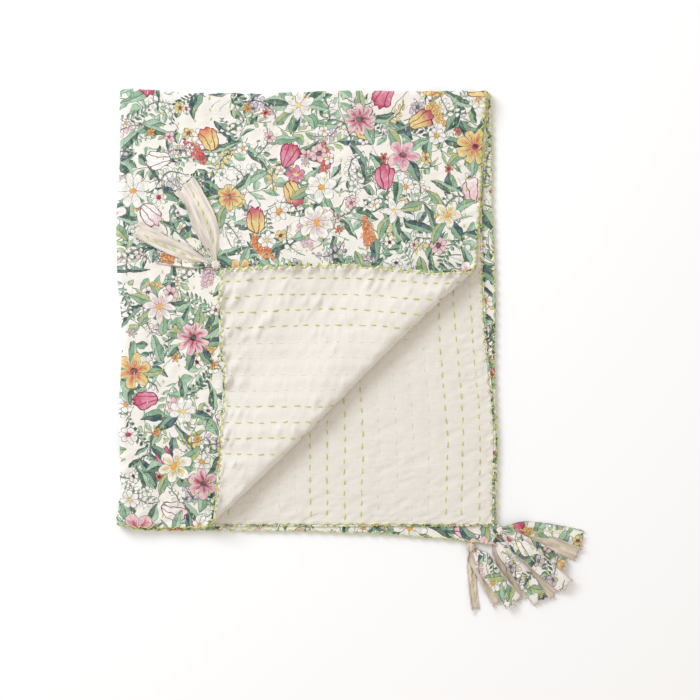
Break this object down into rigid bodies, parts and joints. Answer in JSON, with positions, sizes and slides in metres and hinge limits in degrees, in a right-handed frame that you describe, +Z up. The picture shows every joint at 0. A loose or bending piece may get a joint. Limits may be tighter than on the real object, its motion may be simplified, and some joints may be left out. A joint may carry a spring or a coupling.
{
  "type": "kantha quilt",
  "caption": "Reversible hand-quilted cotton throw, folded in quarters with a corner turned back and cloth-strip tassels at its corners.",
  "frame": {"origin": "middle of the folded quilt's bounding box, on the surface it lies on", "axes": "+Z up through the folded layers, +Y along the folded quilt's length towards its folded edge, +X towards its open side hems"},
  "size_m": [0.6356, 0.706, 0.0338],
  "materials": {
    "printed_cotton": "soft washed cotton with an all-over flower print",
    "plain_cotton": "soft washed plain cream cotton",
    "tassel_strips": "torn strips of the quilted cloth, print on one side and cream on the other"
  },
  "bodies": {
    "root": {"front_cloth": "printed_cotton", "back_cloth": "plain_cotton", "tassel_turned": "tassel_strips", "tassel_second": "tassel_strips", "tassel_third": "tassel_strips", "tassel_bottom": "tassel_strips"}
  },
  "joints": []
}
